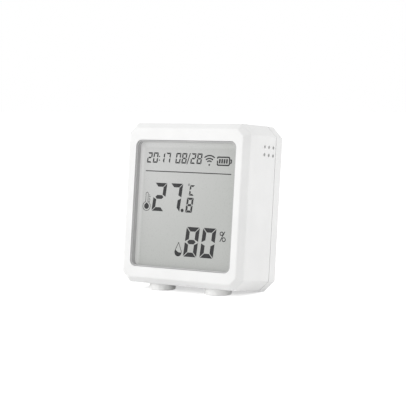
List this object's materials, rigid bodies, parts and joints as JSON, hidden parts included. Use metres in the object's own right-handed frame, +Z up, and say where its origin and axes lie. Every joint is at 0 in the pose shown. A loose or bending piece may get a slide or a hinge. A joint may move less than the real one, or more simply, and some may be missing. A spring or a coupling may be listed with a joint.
{
  "type": "temperature humidity sensor",
  "caption": "Small desktop temperature and humidity sensor with a large segment screen, bevelled case, side vents, front feet, battery door and pairing button.",
  "frame": {"origin": "on the table surface, under the centre of the standing case's outline", "axes": "+Z up, screen facing -Y and leaning back 5.8 degrees, vents on the +X side"},
  "size_m": [0.0552, 0.0302, 0.0629],
  "materials": {
    "shell_white": "fine satin moulding",
    "rear_white": "fine satin moulding",
    "button_white": "satin",
    "foot_rubber": "soft matt silicone",
    "frame_grey": "matt",
    "screen_film": "low gloss polarising film",
    "screen_glass": "clear",
    "screen_backing": "silvery reflective film",
    "clear_acrylic": "clear with a dotted back",
    "lamp_yellow": "resin lens",
    "foam_grey": "closed foam",
    "zebra_rubber": "striped silicone",
    "board_green": "solder mask",
    "board_blue": "solder mask",
    "part_black": "moulded epoxy",
    "stem_black": "moulded",
    "resin_black": "cast resin drop",
    "shield_steel": "tinned",
    "screw_steel": "nickel plated",
    "pin_gold": "gold flash",
    "leg_tin": "tinned",
    "coil_grey": "ferrite",
    "can_bright": "bright can",
    "capacitor_tan": "ceramic chip",
    "cell_bright": "bright nickel plating",
    "sleeve_grey": "plain shrunk film",
    "contact_nickel": "nickel plated spring steel"
  },
  "bodies": {
    "case": {"front_shell": "shell_white", "back_shell": "rear_white", "foot_left": "foot_rubber", "foot_right": "foot_rubber", "button_switch": "part_black", "lcd_frame": "frame_grey", "lcd_front_film": "screen_film", "lcd_front_glass": "screen_glass", "lcd_rear_glass": "screen_glass", "lcd_rear_film": "screen_backing", "light_guide": "clear_acrylic", "backlight_leds": "lamp_yellow", "foam_pad": "foam_grey", "contact_rubber": "zebra_rubber", "main_board": "board_green", "board_screws": "screw_steel", "case_screws": "screw_steel", "radio_board": "board_blue", "radio_shield": "shield_steel", "sensor_board": "board_green", "climate_sensor": "part_black", "sensor_pins": "pin_gold", "controller_chip": "part_black", "controller_legs": "leg_tin", "driver_blob": "resin_black", "crystal_can": "shield_steel", "power_coil": "coil_grey", "storage_cans": "can_bright", "chip_capacitors": "capacitor_tan", "chip_resistors": "part_black", "cell_left": "cell_bright", "cell_right": "cell_bright", "sleeve_left": "sleeve_grey", "sleeve_right": "sleeve_grey", "positive_contact": "contact_nickel", "negative_contact": "contact_nickel", "bridge_contact": "contact_nickel", "spring_upper": "contact_nickel", "spring_lower": "contact_nickel"},
    "door": {"battery_door": "rear_white"},
    "button": {"pair_button": "button_white", "switch_stem": "stem_black"}
  },
  "joints": [
    {"name": "door_swing", "type": "hinge", "parent": "case", "child": "door", "pos_m": [0, 0.00947, 0.0049], "axis": [-1, 0, 0], "range_deg": [0, 30]},
    {"name": "button_press", "type": "slide", "parent": "case", "child": "button", "axis": [0, -0.9949, 0.1011], "range_m": [0, 0.0005], "stiffness_N_per_m": 800, "springref_m": -0.0003}
  ]
}
